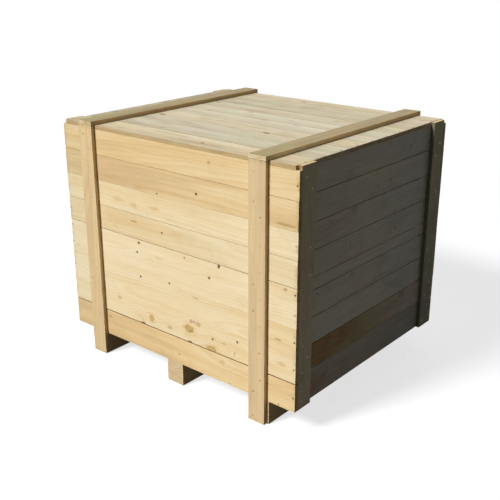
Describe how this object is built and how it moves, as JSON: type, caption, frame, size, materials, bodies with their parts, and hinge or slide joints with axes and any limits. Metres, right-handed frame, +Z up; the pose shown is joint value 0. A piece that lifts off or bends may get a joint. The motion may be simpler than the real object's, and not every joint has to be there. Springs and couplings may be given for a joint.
{
  "type": "wooden packing box",
  "caption": "Nailed pine crate on skids, with boarded sides, upright battens and a battened lid that lifts off.",
  "frame": {"origin": "on the ground at the middle of the box's footprint", "axes": "+X along the boards of the long panels, -Y out of the front panel, +Z up"},
  "size_m": [1.2008, 1.0328, 1.016],
  "materials": {
    "pine_long_panels": "planed, unfinished",
    "pine_end_panels": "planed, unfinished",
    "pine_lid": "planed, unfinished",
    "pine_floor": "planed, unfinished",
    "pine_battens": "planed, unfinished",
    "pine_corner_battens": "planed, unfinished",
    "pine_lid_battens": "planed, unfinished",
    "pine_skids": "planed, unfinished",
    "nail_steel": "dull"
  },
  "bodies": {
    "crate": {"front_board_1": "pine_long_panels", "front_board_2": "pine_long_panels", "front_board_3": "pine_long_panels", "front_board_4": "pine_long_panels", "front_board_5": "pine_long_panels", "front_board_6": "pine_long_panels", "front_board_7": "pine_long_panels", "front_board_8": "pine_long_panels", "front_board_9": "pine_long_panels", "right_end_board_1": "pine_end_panels", "right_end_board_2": "pine_end_panels", "right_end_board_3": "pine_end_panels", "right_end_board_4": "pine_end_panels", "right_end_board_5": "pine_end_panels", "right_end_board_6": "pine_end_panels", "right_end_board_7": "pine_end_panels", "right_end_board_8": "pine_end_panels", "right_end_board_9": "pine_end_panels", "back_boards": "pine_long_panels", "left_end_boards": "pine_end_panels", "floor_boards": "pine_floor", "left_skid": "pine_skids", "middle_skid": "pine_skids", "right_skid": "pine_skids", "front_batten_left": "pine_battens", "front_batten_right": "pine_battens", "back_batten_left": "pine_battens", "back_batten_right": "pine_battens", "right_end_batten_front": "pine_corner_battens", "right_end_batten_back": "pine_corner_battens", "left_end_batten_front": "pine_corner_battens", "left_end_batten_back": "pine_corner_battens", "front_nails": "nail_steel", "back_nails": "nail_steel", "right_end_nails": "nail_steel", "left_end_nails": "nail_steel", "floor_nails": "nail_steel"},
    "lid": {"lid_board_1": "pine_lid", "lid_board_2": "pine_lid", "lid_board_3": "pine_lid", "lid_board_4": "pine_lid", "lid_board_5": "pine_lid", "lid_board_6": "pine_lid", "lid_board_7": "pine_lid", "lid_board_8": "pine_lid", "lid_board_9": "pine_lid", "lid_board_10": "pine_lid", "lid_batten_left": "pine_lid_battens", "lid_batten_right": "pine_lid_battens", "lid_batten_nails": "nail_steel", "lid_closing_nails": "nail_steel"}
  },
  "joints": [
    {"name": "lid_lift", "type": "slide", "parent": "crate", "child": "lid", "axis": [0, 0, 1], "range_m": [0, 0.4]}
  ]
}
